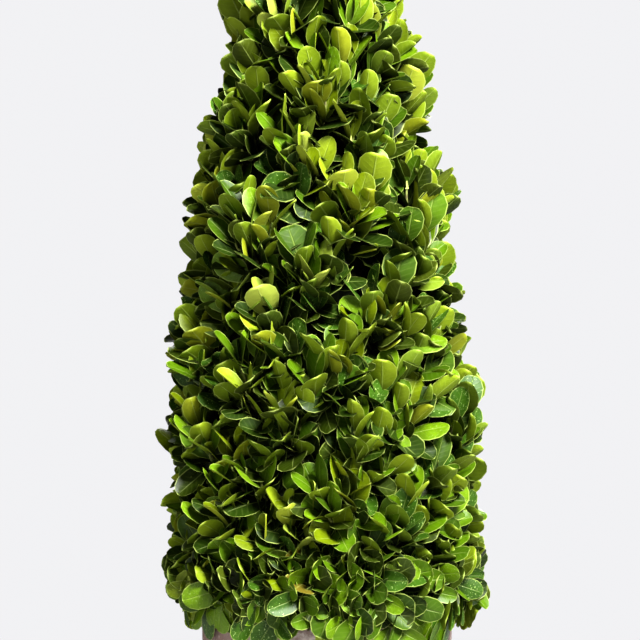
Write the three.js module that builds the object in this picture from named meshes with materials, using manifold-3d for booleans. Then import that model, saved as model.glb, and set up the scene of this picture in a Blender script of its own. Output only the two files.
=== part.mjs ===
// A boxwood bush clipped to a slender cone, in a clay pot, in millimetres with +Z up.
// The origin is the middle of the pot's flat underside. The photographed side faces -Y.
import * as THREE from 'three';
import { mergeVertices } from 'three/addons/utils/BufferGeometryUtils.js';
import Module from 'manifold-3d';

// The clearance that neighbouring pieces keep, and how close two corners are to be one.
const GAP = 0.3;
const WELD = 1e-3;

// The clay pot: a tapered body under a thick, nearly upright collar.
const POT_HEIGHT = 122;
const POT_FOOT_RADIUS = 46;
const POT_BODY_RADIUS = 62;
const POT_RIM_RADIUS = 68;
const POT_COLLAR_HEIGHT = 32;
const POT_COLLAR_TAPER = 1.2;
const POT_FLOOR = 9;
const POT_INNER_FOOT_RADIUS = 39;
const POT_MOUTH_RADIUS = 60;
const POT_EDGE_ROUND = 3.5;
const POT_SIDES = 48;
const CURVE_STEPS = 4;

// The soil stops short of the rim and is heaped up a little round the stem.
const SOIL_TOP = 112;
const SOIL_EDGE_DROP = 4;
const SOIL_FLAT_RADIUS = 17;

// The stem: root flare, taper and the lean that the whole bush has.
const STEM_TOP = 172;
const STEM_FLARE_RADIUS = 11.5;
const STEM_FLARE_HEIGHT = 20;
const STEM_RADIUS = 6.2;
const STEM_TIP_RADIUS = 4;
const STEM_SIDES = 15;
const ROOT_RIDGES = 5;
const ROOT_RIDGE_DEPTH = 0.16;

// The clipped outline: widest a little above the rim, closing to the tip and in under the skirt.
const CROWN_TIP = 588;
const CROWN_APEX = 600;
const CROWN_WAIST = 148;
const CROWN_RADIUS = 86;
const CROWN_SKIRT = 103;
const CROWN_LOWEST = 100;
const SKIRT_DROP = 150;
const OUTLINE_MARGIN = 12;
const LEAN = 0.023;

// The dense inside of the bush, which the sprigs stand out of.
const CORE_TIP = 545;
const CORE_APEX = 568;
const CORE_FOOT = 123.5;
const CORE_RADIUS = 64;
const CORE_ROWS = 9;
const CORE_SIDES = 16;

// Sprigs are spread evenly by the golden angle. They hang over the rim at the skirt, point
// outwards and up in the middle, and stand upright at the tip. Angles are in degrees.
const SPRIG_COUNT = 110;
const GOLDEN_ANGLE = 137.508;
const SKIRT_CROWDING = 1.2;
const TIP_CROWDING = 1.05;
const MIDDLE_RISE = 50;
const TIP_RISE = 34;
const SKIRT_FALL = 116;
const SKIRT_SHARE = 0.1;
const RISE_SPREAD = 12;
const REACH_SPREAD = 0.06;
const STRAY_SHARE = 0.22;
const STRAY_REACH = 0.09;
const ROOT_SPREAD = 0.6;
const HIGHEST_ROOT = 510;
const LEAFY_LENGTH = 10;
const TWIG_RADIUS = 2.6;
const TWIG_TIP_RADIUS = 2;

// Boxwood leaves stand in crossed pairs along a sprig, with one more at its end.
const LEAF_PAIRS = 2;
const LEAF_LENGTH = 31;
const LEAF_WIDTH = 20.5;
const LEAF_THICKNESS = 2;
const LEAF_CUP = 1.1;
const LEAF_ROOT = 0.6;
const LEAF_WIDEST = 0.64;
const LEAF_SIZE_SPREAD = 0.25;
const LOW_PAIR_SPREAD = 60;
const TOP_PAIR_SPREAD = 34;
const TIP_LEAF_SPREAD = 24;
const PAIR_TURN_SPREAD = 34;
const POT_CLEARANCE = 1.2;

// Which of a sprig's chance draws decides what. Pairs and leaves count on from theirs.
const DRAW = {
  reach: 1,
  rise: 2,
  rootX: 3,
  rootY: 4,
  stray: 7,
  pairTurn: 10,
  leafSize: 20,
  tipSpread: 30,
};

const CLAY = { color: 0x9a7f74, roughness: 0.9, metalness: 0 };
const SOIL = { color: 0x2e241c, roughness: 1, metalness: 0 };
const BARK = { color: 0x6b5a44, roughness: 0.9, metalness: 0 };
const FOLIAGE = { color: 0x4b5d18, roughness: 0.5, metalness: 0 };

const wasm = await Module();
wasm.setup();

// Repeatable scatter from 0 to 1 for one draw of one sprig.
function chance(seed, draw) {
  const value = Math.sin(seed * 12.9898 + draw * 78.233) * 43758.5453;
  return value - Math.floor(value);
}

// The same, centred on zero and as wide as the spread.
function scatter(seed, draw, spread) {
  return (chance(seed, draw) - 0.5) * spread;
}

// How far the bush's own axis has moved along X at a height.
function leanAt(height) {
  return -LEAN * (height - POT_HEIGHT);
}

// Shifts a shape that was made about the Z axis onto the leaning axis.
function leaned(geometry) {
  const position = geometry.getAttribute('position');
  for (let i = 0; i < position.count; i += 1) {
    position.setX(i, position.getX(i) + leanAt(position.getZ(i)));
  }
  return geometry;
}

// Turns a profile of radius and height about the Z axis.
function turned(profile, sides) {
  const geometry = new THREE.LatheGeometry(profile, sides);
  geometry.rotateX(Math.PI / 2);
  return geometry;
}

// Joins a closed shape's shared corners and drops the empty triangles at its poles.
function merged(geometry) {
  geometry.deleteAttribute('normal');
  geometry.deleteAttribute('uv');
  const shape = mergeVertices(geometry, WELD);
  const corners = shape.getIndex().array;
  const kept = [];
  for (let i = 0; i < corners.length; i += 3) {
    const [a, b, c] = [corners[i], corners[i + 1], corners[i + 2]];
    if (a !== b && b !== c && c !== a) {
      kept.push(a, b, c);
    }
  }
  shape.setIndex(kept);
  return shape;
}

// A closed shape as a solid that can be joined and cut, and a solid as a shape again.
function toSolid(geometry) {
  const shape = merged(geometry);
  const vertProperties = new Float32Array(shape.getAttribute('position').array);
  const triVerts = new Uint32Array(shape.getIndex().array);
  return new wasm.Manifold(new wasm.Mesh({ numProp: 3, vertProperties, triVerts }));
}

function toGeometry(solid) {
  const mesh = solid.getMesh();
  const geometry = new THREE.BufferGeometry();
  geometry.setAttribute('position', new THREE.BufferAttribute(mesh.vertProperties, 3));
  geometry.setIndex(new THREE.BufferAttribute(mesh.triVerts, 1));
  geometry.computeVertexNormals();
  return geometry;
}

// Joins solids two by two, so that no join is between a large and a tiny one for long.
function joined(solids) {
  if (solids.length === 1) {
    return solids[0];
  }
  const half = Math.ceil(solids.length / 2);
  return joined(solids.slice(0, half)).add(joined(solids.slice(half)));
}

// Keeps the outer skin of the largest body: sealed pockets are filled and loose scraps dropped.
function largestBody(solid) {
  const bodies = toSolid(toGeometry(solid)).decompose();
  bodies.sort((a, b) => b.volume() - a.volume());
  return bodies[0];
}

// Up the outside from the underside, round the collar and the lip, and down the inner wall.
function potGeometry() {
  const collarFoot = POT_HEIGHT - POT_COLLAR_HEIGHT;
  const collarFootRadius = POT_RIM_RADIUS - POT_COLLAR_TAPER;
  const round = POT_EDGE_ROUND;
  const profile = new THREE.Path();
  profile.moveTo(0, 0);
  profile.lineTo(POT_FOOT_RADIUS - round / 2, 0);
  profile.lineTo(POT_FOOT_RADIUS, round / 2);
  profile.lineTo(POT_BODY_RADIUS, collarFoot);
  profile.lineTo(collarFootRadius - round / 2, collarFoot);
  profile.quadraticCurveTo(collarFootRadius, collarFoot, collarFootRadius, collarFoot + round);
  profile.lineTo(POT_RIM_RADIUS, POT_HEIGHT - round);
  profile.quadraticCurveTo(POT_RIM_RADIUS, POT_HEIGHT, POT_RIM_RADIUS - round, POT_HEIGHT);
  profile.lineTo(POT_MOUTH_RADIUS + round / 2, POT_HEIGHT);
  profile.lineTo(POT_MOUTH_RADIUS, POT_HEIGHT - round / 2);
  profile.lineTo(POT_INNER_FOOT_RADIUS, POT_FLOOR);
  profile.lineTo(0, POT_FLOOR);
  return turned(profile.getPoints(CURVE_STEPS), POT_SIDES);
}

// The pot's inner wall is straight, so the soil follows it at the clearance.
function potInnerRadius(height) {
  const share = (height - POT_FLOOR) / (POT_HEIGHT - POT_EDGE_ROUND / 2 - POT_FLOOR);
  return POT_INNER_FOOT_RADIUS + share * (POT_MOUTH_RADIUS - POT_INNER_FOOT_RADIUS);
}

// Flat where the stem stands on it and sloping down a little to the wall.
function soilGeometry() {
  const floor = POT_FLOOR + GAP;
  const edge = SOIL_TOP - SOIL_EDGE_DROP;
  const edgeRadius = potInnerRadius(edge) - GAP;
  const profile = new THREE.Path();
  profile.moveTo(0, floor);
  profile.lineTo(potInnerRadius(floor) - GAP, floor);
  profile.lineTo(edgeRadius, edge);
  profile.quadraticCurveTo((edgeRadius + SOIL_FLAT_RADIUS) / 2, SOIL_TOP, SOIL_FLAT_RADIUS, SOIL_TOP);
  profile.lineTo(0, SOIL_TOP);
  return turned(profile.getPoints(CURVE_STEPS), POT_SIDES);
}

// The stem, or with a clearance the socket that the core leaves round it.
function stemGeometry(clearance) {
  const foot = SOIL_TOP + GAP - clearance;
  const flareTop = foot + STEM_FLARE_HEIGHT;
  const profile = new THREE.Path();
  profile.moveTo(0, foot);
  profile.lineTo(STEM_FLARE_RADIUS + clearance, foot);
  profile.quadraticCurveTo(STEM_RADIUS + clearance, foot, STEM_RADIUS + clearance, flareTop);
  profile.lineTo(STEM_TIP_RADIUS + clearance, STEM_TOP + clearance);
  profile.lineTo(0, STEM_TOP + clearance);
  const geometry = turned(profile.getPoints(CURVE_STEPS), STEM_SIDES);
  const position = geometry.getAttribute('position');
  for (let i = 0; i < position.count; i += 1) {
    const turn = Math.atan2(position.getY(i), position.getX(i));
    const height = (position.getZ(i) - foot) / STEM_FLARE_HEIGHT;
    const ridge = 1 + ROOT_RIDGE_DEPTH * Math.cos(ROOT_RIDGES * turn) * Math.max(0, 1 - height);
    position.setX(i, position.getX(i) * ridge);
    position.setY(i, position.getY(i) * ridge);
  }
  return leaned(geometry);
}

// The clipped outline's radius at a height.
function crownRadius(height) {
  const span = height > CROWN_WAIST ? CROWN_APEX - CROWN_WAIST : SKIRT_DROP;
  const away = (height - CROWN_WAIST) / span;
  return CROWN_RADIUS * (1 - away * away);
}

// The core's radius at a height: the same kind of curve, further in.
function coreRadius(height) {
  const away = Math.max(0, height - CROWN_WAIST) / (CORE_APEX - CROWN_WAIST);
  return CORE_RADIUS * (1 - away * away);
}

// Straight below the waist, and blunt at the top.
function coreSolid() {
  const profile = [new THREE.Vector2(0, CORE_FOOT), new THREE.Vector2(CORE_RADIUS, CORE_FOOT)];
  for (let row = 0; row <= CORE_ROWS; row += 1) {
    const height = THREE.MathUtils.lerp(CROWN_WAIST, CORE_TIP, row / CORE_ROWS);
    profile.push(new THREE.Vector2(coreRadius(height), height));
  }
  profile.push(new THREE.Vector2(0, CORE_TIP));
  return toSolid(leaned(turned(profile, CORE_SIDES)));
}

// The share of the crown's height at which a sprig ends. Equal areas of the outline get equal
// numbers of sprigs, with some more at the skirt and the tip.
function sprigShare(index) {
  const area = ((index + 1) / SPRIG_COUNT) ** SKIRT_CROWDING;
  return Math.min(1, TIP_CROWDING * 2 * Math.sin(Math.asin(area) / 3));
}

// How steeply sprigs rise at a share of the crown's height.
function sprigRise(up) {
  return MIDDLE_RISE + TIP_RISE * up ** 3 - SKIRT_FALL * Math.exp(-up / SKIRT_SHARE);
}

// How far a sprig strays past the outline, as a share of its radius: most don't.
function strayReach(index) {
  const draw = chance(index, DRAW.stray) / STRAY_SHARE;
  return draw < 1 ? STRAY_REACH * Math.sqrt(1 - draw) : 0;
}

// The line of one sprig: it branches off near the crown's own axis, deep in the core, and its
// end leaf touches the clipped outline, or strays past it a little.
function sprigLine(index) {
  const up = sprigShare(index);
  const height = THREE.MathUtils.lerp(CROWN_SKIRT, CROWN_TIP, up);
  const turn = THREE.MathUtils.degToRad(index * GOLDEN_ANGLE);
  const inset = REACH_SPREAD * chance(index, DRAW.reach) - strayReach(index);
  const reach = crownRadius(height) * (1 - inset);
  const rise = THREE.MathUtils.degToRad(sprigRise(up) + scatter(index, DRAW.rise, RISE_SPREAD));
  const rootHeight = Math.min(height - reach * Math.tan(rise), HIGHEST_ROOT);
  const rootSpread = ROOT_SPREAD * coreRadius(rootHeight);
  const start = new THREE.Vector3(
    leanAt(rootHeight) + scatter(index, DRAW.rootX, rootSpread),
    scatter(index, DRAW.rootY, rootSpread),
    rootHeight,
  );
  const leafTip = new THREE.Vector3(
    leanAt(height) + reach * Math.cos(turn),
    reach * Math.sin(turn),
    height,
  );
  const direction = leafTip.clone().sub(start).normalize();
  const end = leafTip.clone().addScaledVector(direction, LEAF_ROOT - LEAF_LENGTH);
  return { start, end, direction };
}

// A three-sided twig from one point to another.
function twigSolid(start, end) {
  const along = end.clone().sub(start);
  const geometry = new THREE.CylinderGeometry(TWIG_TIP_RADIUS, TWIG_RADIUS, along.length(), 3, 1);
  const turn = new THREE.Quaternion().setFromUnitVectors(
    new THREE.Vector3(0, 1, 0),
    along.clone().normalize(),
  );
  geometry.applyQuaternion(turn);
  const middle = start.clone().add(end).multiplyScalar(0.5);
  geometry.translate(middle.x, middle.y, middle.z);
  return toSolid(geometry);
}

// A leaf's place: its root, sunk through the twig, the way its blade points, its upper face and
// its size. It leans away from the sprig to one side, with its upper face towards the sprig.
function leafPlace(line, base, around, spread, size) {
  const { direction } = line;
  const level = new THREE.Vector3(0, 0, 1).cross(direction).normalize();
  const upper = direction.clone().cross(level);
  const side = level.multiplyScalar(Math.cos(around)).addScaledVector(upper, Math.sin(around));
  const turn = THREE.MathUtils.degToRad(spread);
  const blade = direction.clone().multiplyScalar(Math.cos(turn)).addScaledVector(side, Math.sin(turn));
  const face = direction.clone().multiplyScalar(Math.sin(turn)).addScaledVector(side, -Math.cos(turn));
  const root = base.clone().addScaledVector(blade, -LEAF_ROOT);
  return { root, blade, face, length: LEAF_LENGTH * size, width: LEAF_WIDTH * size };
}

// The crossed pairs of one sprig, lowest first, and the leaf at its end.
function leafPlaces(index, line) {
  const places = [];
  for (let leaf = 0; leaf < 2 * LEAF_PAIRS; leaf += 1) {
    const pair = Math.floor(leaf / 2);
    const along = (pair + 0.5) / LEAF_PAIRS;
    const base = line.end.clone().addScaledVector(line.direction, (along - 1) * LEAFY_LENGTH);
    const twist = THREE.MathUtils.degToRad(scatter(index, DRAW.pairTurn + pair, PAIR_TURN_SPREAD));
    const around = Math.PI / 4 + pair * Math.PI / 2 + (leaf % 2) * Math.PI + twist;
    const spread = THREE.MathUtils.lerp(LOW_PAIR_SPREAD, TOP_PAIR_SPREAD, along);
    const size = 1 - LEAF_SIZE_SPREAD * chance(index, DRAW.leafSize + leaf);
    places.push(leafPlace(line, base, around, spread, size));
  }
  const tipSpread = scatter(index, DRAW.tipSpread, TIP_LEAF_SPREAD);
  places.push(leafPlace(line, line.end, -Math.PI / 2, tipSpread, 1));
  return places;
}

// A stretched octahedron, widest past its middle and cupped towards its upper face.
function leafGeometry(place) {
  const geometry = merged(new THREE.OctahedronGeometry(1));
  const position = geometry.getAttribute('position');
  for (let i = 0; i < position.count; i += 1) {
    const edge = Math.abs(position.getX(i));
    position.setZ(i, position.getZ(i) + edge * (2 * LEAF_WIDEST - 1));
    position.setY(i, position.getY(i) + edge * LEAF_CUP);
  }
  const across = place.blade.clone().cross(place.face);
  const middle = place.root.clone().addScaledVector(place.blade, place.length / 2);
  const basis = new THREE.Matrix4().makeBasis(
    across.multiplyScalar(-place.width / 2),
    place.face.clone().multiplyScalar(LEAF_THICKNESS / 2),
    place.blade.clone().multiplyScalar(place.length / 2),
  );
  geometry.applyMatrix4(basis);
  geometry.translate(middle.x, middle.y, middle.z);
  return geometry;
}

// Whether a point lies in the crown's own space, clear of the pot.
function inCrownSpace(x, y, z) {
  const overRim = z > POT_HEIGHT + POT_CLEARANCE;
  const outsideRim = Math.hypot(x, y) > POT_RIM_RADIUS + POT_CLEARANCE;
  const insideOutline = Math.hypot(x - leanAt(z), y) < crownRadius(z) + OUTLINE_MARGIN;
  return z > CROWN_LOWEST && insideOutline && (overRim || outsideRim);
}

// A leaf is tested at its corners and halfway between each two of them.
function keepsToSpace(geometry) {
  const position = geometry.getAttribute('position');
  for (let i = 0; i < position.count; i += 1) {
    for (let j = 0; j <= i; j += 1) {
      const x = (position.getX(i) + position.getX(j)) / 2;
      const y = (position.getY(i) + position.getY(j)) / 2;
      const z = (position.getZ(i) + position.getZ(j)) / 2;
      if (!inCrownSpace(x, y, z)) {
        return false;
      }
    }
  }
  return true;
}

// A sprig's twig and those of its leaves that have room.
function sprigSolids(index) {
  const line = sprigLine(index);
  const leaves = leafPlaces(index, line).map(leafGeometry).filter(keepsToSpace);
  return [twigSolid(line.start, line.end), ...leaves.map(toSolid)];
}

// The whole crown in one piece, with the socket that leaves the stem its clearance.
function crownGeometry() {
  const solids = [coreSolid()];
  for (let index = 0; index < SPRIG_COUNT; index += 1) {
    solids.push(...sprigSolids(index));
  }
  const socket = toSolid(stemGeometry(GAP));
  return toGeometry(largestBody(joined(solids).subtract(socket)));
}

function piece(name, geometry, look) {
  const mesh = new THREE.Mesh(geometry, new THREE.MeshStandardMaterial(look));
  mesh.name = name;
  return mesh;
}

const topiary = new THREE.Group();
topiary.add(piece('pot', potGeometry(), CLAY));
topiary.add(piece('soil', soilGeometry(), SOIL));
topiary.add(piece('stem', stemGeometry(0), BARK));
topiary.add(piece('crown', crownGeometry(), FOLIAGE));

export default topiary;
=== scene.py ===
import math

import bpy
import numpy as np
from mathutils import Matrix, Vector


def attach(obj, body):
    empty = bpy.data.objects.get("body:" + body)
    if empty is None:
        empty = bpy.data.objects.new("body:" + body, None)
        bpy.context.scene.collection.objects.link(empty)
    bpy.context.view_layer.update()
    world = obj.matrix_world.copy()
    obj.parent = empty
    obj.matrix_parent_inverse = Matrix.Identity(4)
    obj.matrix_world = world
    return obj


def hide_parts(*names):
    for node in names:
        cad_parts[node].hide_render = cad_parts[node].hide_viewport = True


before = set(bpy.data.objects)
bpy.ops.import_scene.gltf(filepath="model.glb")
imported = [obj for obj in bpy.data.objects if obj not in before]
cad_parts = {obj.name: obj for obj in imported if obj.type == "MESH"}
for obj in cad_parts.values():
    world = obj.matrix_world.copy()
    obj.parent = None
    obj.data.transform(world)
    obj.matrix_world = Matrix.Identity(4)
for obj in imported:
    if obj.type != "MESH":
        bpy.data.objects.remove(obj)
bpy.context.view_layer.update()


# The camera looks level at the crown from a metre and a half away. Its frame is 346 mm wide at the
# plant, and cuts the crown off above and the pot just below its rim.
CAMERA_DISTANCE = 1.5
CAMERA_HEIGHT = 0.2775
CAMERA_LEFT = 0.0038
FRAME_WIDTH = 0.3456
SENSOR_WIDTH = 36

camera_lens = bpy.data.cameras.new("camera")
camera_lens.sensor_width = SENSOR_WIDTH
camera_lens.lens = SENSOR_WIDTH * CAMERA_DISTANCE / FRAME_WIDTH
camera = bpy.data.objects.new("camera", camera_lens)
camera.location = (-CAMERA_LEFT, -CAMERA_DISTANCE, CAMERA_HEIGHT)
camera.rotation_euler = (math.radians(90), 0, 0)
bpy.context.scene.collection.objects.link(camera)
bpy.context.scene.camera = camera


# A plain studio: a pale round table top, a pale surround, one strong soft light from the right
# and above, and weaker ones from the left and from behind.
TABLE_RADIUS = 0.88
TABLE_THICKNESS = 0.02
TABLE_SIDES = 96
TABLE_COLOUR = (0.36, 0.36, 0.365)
TABLE_ROUGHNESS = 0.7
SURROUND_COLOUR = (0.745, 0.745, 0.76, 1)
SURROUND_LIGHT = 0.03
LIGHT_TARGET = Vector((0, 0, 0.3))
# Name, place, width in metres and power in watts.
STUDIO_LIGHTS = (
    ("key light", (0.60, -1.08, 1.26), 0.62, 116),
    ("fill light", (-1.0, -1.5, 0.5), 0.9, 8),
    ("back light", (0.3, 1.7, 1.0), 1.1, 37),
)

bpy.context.scene.view_settings.view_transform = "Standard"
bpy.context.scene.view_settings.look = "Medium High Contrast"
surround = bpy.data.worlds.new("surround")
surround.use_nodes = True
surround_nodes = surround.node_tree.nodes
surround_links = surround.node_tree.links
surround_nodes.clear()
seen_surround = surround_nodes.new("ShaderNodeBackground")
seen_surround.inputs["Color"].default_value = SURROUND_COLOUR
lit_surround = surround_nodes.new("ShaderNodeBackground")
lit_surround.inputs["Color"].default_value = SURROUND_COLOUR
lit_surround.inputs["Strength"].default_value = SURROUND_LIGHT
ray_kind = surround_nodes.new("ShaderNodeLightPath")
surround_choice = surround_nodes.new("ShaderNodeMixShader")
surround_output = surround_nodes.new("ShaderNodeOutputWorld")
surround_links.new(ray_kind.outputs["Is Camera Ray"], surround_choice.inputs[0])
surround_links.new(lit_surround.outputs[0], surround_choice.inputs[1])
surround_links.new(seen_surround.outputs[0], surround_choice.inputs[2])
surround_links.new(surround_choice.outputs[0], surround_output.inputs["Surface"])
bpy.context.scene.world = surround

for light_name, light_place, light_width, light_power in STUDIO_LIGHTS:
    light_data = bpy.data.lights.new(light_name, "AREA")
    light_data.shape = "DISK"
    light_data.size = light_width
    light_data.energy = light_power
    light = bpy.data.objects.new(light_name, light_data)
    light.location = light_place
    light.rotation_euler = (LIGHT_TARGET - Vector(light_place)).to_track_quat("-Z", "Y").to_euler()
    bpy.context.scene.collection.objects.link(light)


def shaped(name, points, faces):
    """A new object in the scene from points in metres and faces of point numbers."""
    mesh = bpy.data.meshes.new(name)
    mesh.from_pydata([tuple(point) for point in points], [], [tuple(face) for face in faces])
    mesh.shade_smooth()
    piece = bpy.data.objects.new(name, mesh)
    bpy.context.scene.collection.objects.link(piece)
    return piece


def ringed(name, points, sides):
    """A closed solid from a point at its foot, rings with a point for each side, and a point at
    its top."""
    last = len(points) - 1
    top = last - sides
    faces = []
    for side in range(sides):
        beside = (side + 1) % sides
        faces.append((0, 1 + beside, 1 + side))
        for low in range(1, top, sides):
            high = low + sides
            faces.append((low + side, low + beside, high + beside, high + side))
        faces.append((top + side, top + beside, last))
    return shaped(name, points, faces)


def turned(name, profile, sides, relief=None):
    """A closed solid of revolution. The profile runs from the axis at its foot to the axis at its
    top as pairs of radius and height. Relief gives how far a point moves outwards."""
    points = [(0, 0, profile[0][1])]
    for radius, height in profile[1:-1]:
        for side in range(sides):
            turn = 2 * math.pi * side / sides
            out = radius + (relief(turn, radius, height) if relief else 0)
            points.append((out * math.cos(turn), out * math.sin(turn), height))
    points.append((0, 0, profile[-1][1]))
    return ringed(name, points, sides)


table_profile = (
    (0, -TABLE_THICKNESS),
    (TABLE_RADIUS, -TABLE_THICKNESS),
    (TABLE_RADIUS, 0),
    (0, 0),
)
table = turned("table_top", table_profile, TABLE_SIDES)
table.data.shade_flat()
table_finish = bpy.data.materials.new("pale table")
table_finish.use_nodes = True
table_shader = table_finish.node_tree.nodes["Principled BSDF"]
table_shader.inputs["Base Color"].default_value = (*TABLE_COLOUR, 1)
table_shader.inputs["Roughness"].default_value = TABLE_ROUGHNESS
table.data.materials.append(table_finish)


# The pot is thrown from red clay: a tapered wall under a thick upright collar with a rounded lip.
# Years of watering have left a grey and white bloom of lime on it, thickest on the collar.
POT_HEIGHT = 0.122
POT_FOOT_RADIUS = 0.046
POT_BODY_RADIUS = 0.062
POT_RIM_RADIUS = 0.068
POT_COLLAR_FOOT = 0.090
POT_COLLAR_FOOT_RADIUS = 0.0668
POT_FLOOR = 0.009
POT_INNER_FOOT_RADIUS = 0.039
POT_MOUTH_RADIUS = 0.060
POT_EDGE_ROUND = 0.0035
POT_CENTRE_RADIUS = 0.004
POT_SIDES = 144
POT_FOOT_ROWS = 6
POT_WALL_ROWS = 26
POT_LEDGE_ROWS = 2
POT_COLLAR_ROWS = 10
POT_FLOOR_ROWS = 4
POT_CURVE_ROWS = 5
# The relief starts outside this radius, and is full from this height on.
POT_EVEN_RADIUS = 0.02
POT_EVEN_HEIGHT = 0.01
THROWING_RIDGE = 0.00018
THROWING_PITCH = 0.0062
THROWING_WANDER = 0.7
POT_UNEVENNESS = 0.0004
# How many bulges stand round the pot, how much they turn as they climb, and where they start.
POT_BULGES = ((2, 31, 0), (3, -17, 1.3))
CLAY_COLOUR = (0.26, 0.115, 0.072)
CLAY_DARK = (0.12, 0.055, 0.038)
LIME_GREY = (0.27, 0.20, 0.175)
LIME_WHITE = (0.62, 0.55, 0.50)
CLAY_ROUGHNESS = 0.78
CLAY_ROUGHER = 0.2
# Blotches, runs of water, grains and pits to the metre, and how deep the relief is.
CLAY_BLOTCHES = 38
CLAY_RUNS_ROUND = 90
CLAY_RUNS_UP = 9
CLAY_GRAINS = 900
CLAY_PITS = 340
CLAY_RELIEF = 0.0005


def straight(start, end, rows):
    """Evenly spaced points on a line, without its last one."""
    return [
        (start[0] + (end[0] - start[0]) * step / rows, start[1] + (end[1] - start[1]) * step / rows)
        for step in range(rows)
    ]


def rounded(start, corner, end, rows):
    """Points on a curve that turns a corner, without its last one."""
    points = []
    for step in range(rows):
        share = step / rows
        weights = ((1 - share) ** 2, 2 * share * (1 - share), share**2)
        points.append(
            tuple(
                sum(weight * knot[axis] for weight, knot in zip(weights, (start, corner, end)))
                for axis in (0, 1)
            )
        )
    return points


def pot_relief(turn, radius, height):
    """Throwing rings and the slight unevenness of a handmade wall, none at the foot."""
    if radius < POT_EVEN_RADIUS:
        return 0
    wander = THROWING_WANDER * math.sin(turn)
    rings = THROWING_RIDGE * math.sin(2 * math.pi * height / THROWING_PITCH + wander)
    drift = 0
    for bulges, climb, start in POT_BULGES:
        drift += 0.5 * math.sin(bulges * turn + climb * height + start)
    fade = min(1, height / POT_EVEN_HEIGHT)
    return rings * fade + POT_UNEVENNESS * (drift - 1) * 0.5 * fade


half_round = POT_EDGE_ROUND / 2
# The wall from under the foot, round the collar and the lip, to the floor inside: where each
# stretch ends, the corner that it rounds, if any, and its rows.
pot_stretches = (
    ((POT_FOOT_RADIUS - half_round, 0), None, POT_FOOT_ROWS),
    ((POT_FOOT_RADIUS, half_round), (POT_FOOT_RADIUS, 0), POT_CURVE_ROWS),
    ((POT_BODY_RADIUS, POT_COLLAR_FOOT), None, POT_WALL_ROWS),
    ((POT_COLLAR_FOOT_RADIUS - POT_EDGE_ROUND, POT_COLLAR_FOOT), None, POT_LEDGE_ROWS),
    (
        (POT_COLLAR_FOOT_RADIUS, POT_COLLAR_FOOT + POT_EDGE_ROUND),
        (POT_COLLAR_FOOT_RADIUS, POT_COLLAR_FOOT),
        POT_CURVE_ROWS,
    ),
    ((POT_RIM_RADIUS, POT_HEIGHT - POT_EDGE_ROUND), None, POT_COLLAR_ROWS),
    ((POT_RIM_RADIUS - POT_EDGE_ROUND, POT_HEIGHT), (POT_RIM_RADIUS, POT_HEIGHT), POT_CURVE_ROWS),
    ((POT_MOUTH_RADIUS, POT_HEIGHT - half_round), (POT_MOUTH_RADIUS, POT_HEIGHT), POT_CURVE_ROWS),
    ((POT_INNER_FOOT_RADIUS, POT_FLOOR), None, POT_WALL_ROWS),
    ((POT_CENTRE_RADIUS, POT_FLOOR), None, POT_FLOOR_ROWS),
)
pot_profile = [(0, 0)]
reached = (POT_CENTRE_RADIUS, 0)
for stretch_end, corner, rows in pot_stretches:
    if corner:
        pot_profile += rounded(reached, corner, stretch_end, rows)
    else:
        pot_profile += straight(reached, stretch_end, rows)
    reached = stretch_end
pot_profile.append((0, POT_FLOOR))
pot = turned("clay_pot", pot_profile, POT_SIDES, pot_relief)


class Amount:
    """A value that a tree of nodes works out at each point, or for each leaf."""

    def __init__(self, workings, socket):
        self.workings = workings
        self.socket = socket

    def worked(self, operation, *others):
        return self.workings.maths(operation, self, *others)

    def __add__(self, other):
        return self.worked("ADD", other)

    def __sub__(self, other):
        return self.worked("SUBTRACT", other)

    def __rsub__(self, other):
        return self.workings.maths("SUBTRACT", other, self)

    def __mul__(self, other):
        return self.worked("MULTIPLY", other)

    def __truediv__(self, other):
        return self.worked("DIVIDE", other)

    def __abs__(self):
        return self.worked("ABSOLUTE")

    __radd__ = __add__
    __rmul__ = __mul__

    def ramp(self, low, high):
        """Nought below the low value, one above the high one, and smooth between them."""
        return self.workings.node(
            "ShaderNodeMapRange",
            {"interpolation_type": "SMOOTHSTEP"},
            {"Value": self, "From Min": low, "From Max": high},
            output="Result",
        )


class Workings:
    """A tree of nodes: the part that finishes and growing pieces have in common."""

    def feed(self, socket, value):
        """Links a worked-out value to a socket, or sets a plain one on it."""
        if isinstance(value, Amount):
            self.tree.links.new(value.socket, socket)
        elif isinstance(value, tuple) and len(value) < len(socket.default_value):
            socket.default_value = (*value, 1)
        else:
            socket.default_value = value

    def node(self, kind, settings, sockets, output=0):
        """A node of any kind with its settings made first, then its sockets."""
        node = self.tree.nodes.new(kind)
        for name, value in settings.items():
            setattr(node, name, value)
        for name, value in sockets.items():
            self.feed(node.inputs[name], value)
        return Amount(self, node.outputs[output])

    def maths(self, operation, *values):
        """A number worked out from others, in their order."""
        return self.node("ShaderNodeMath", {"operation": operation}, dict(enumerate(values)))


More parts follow.
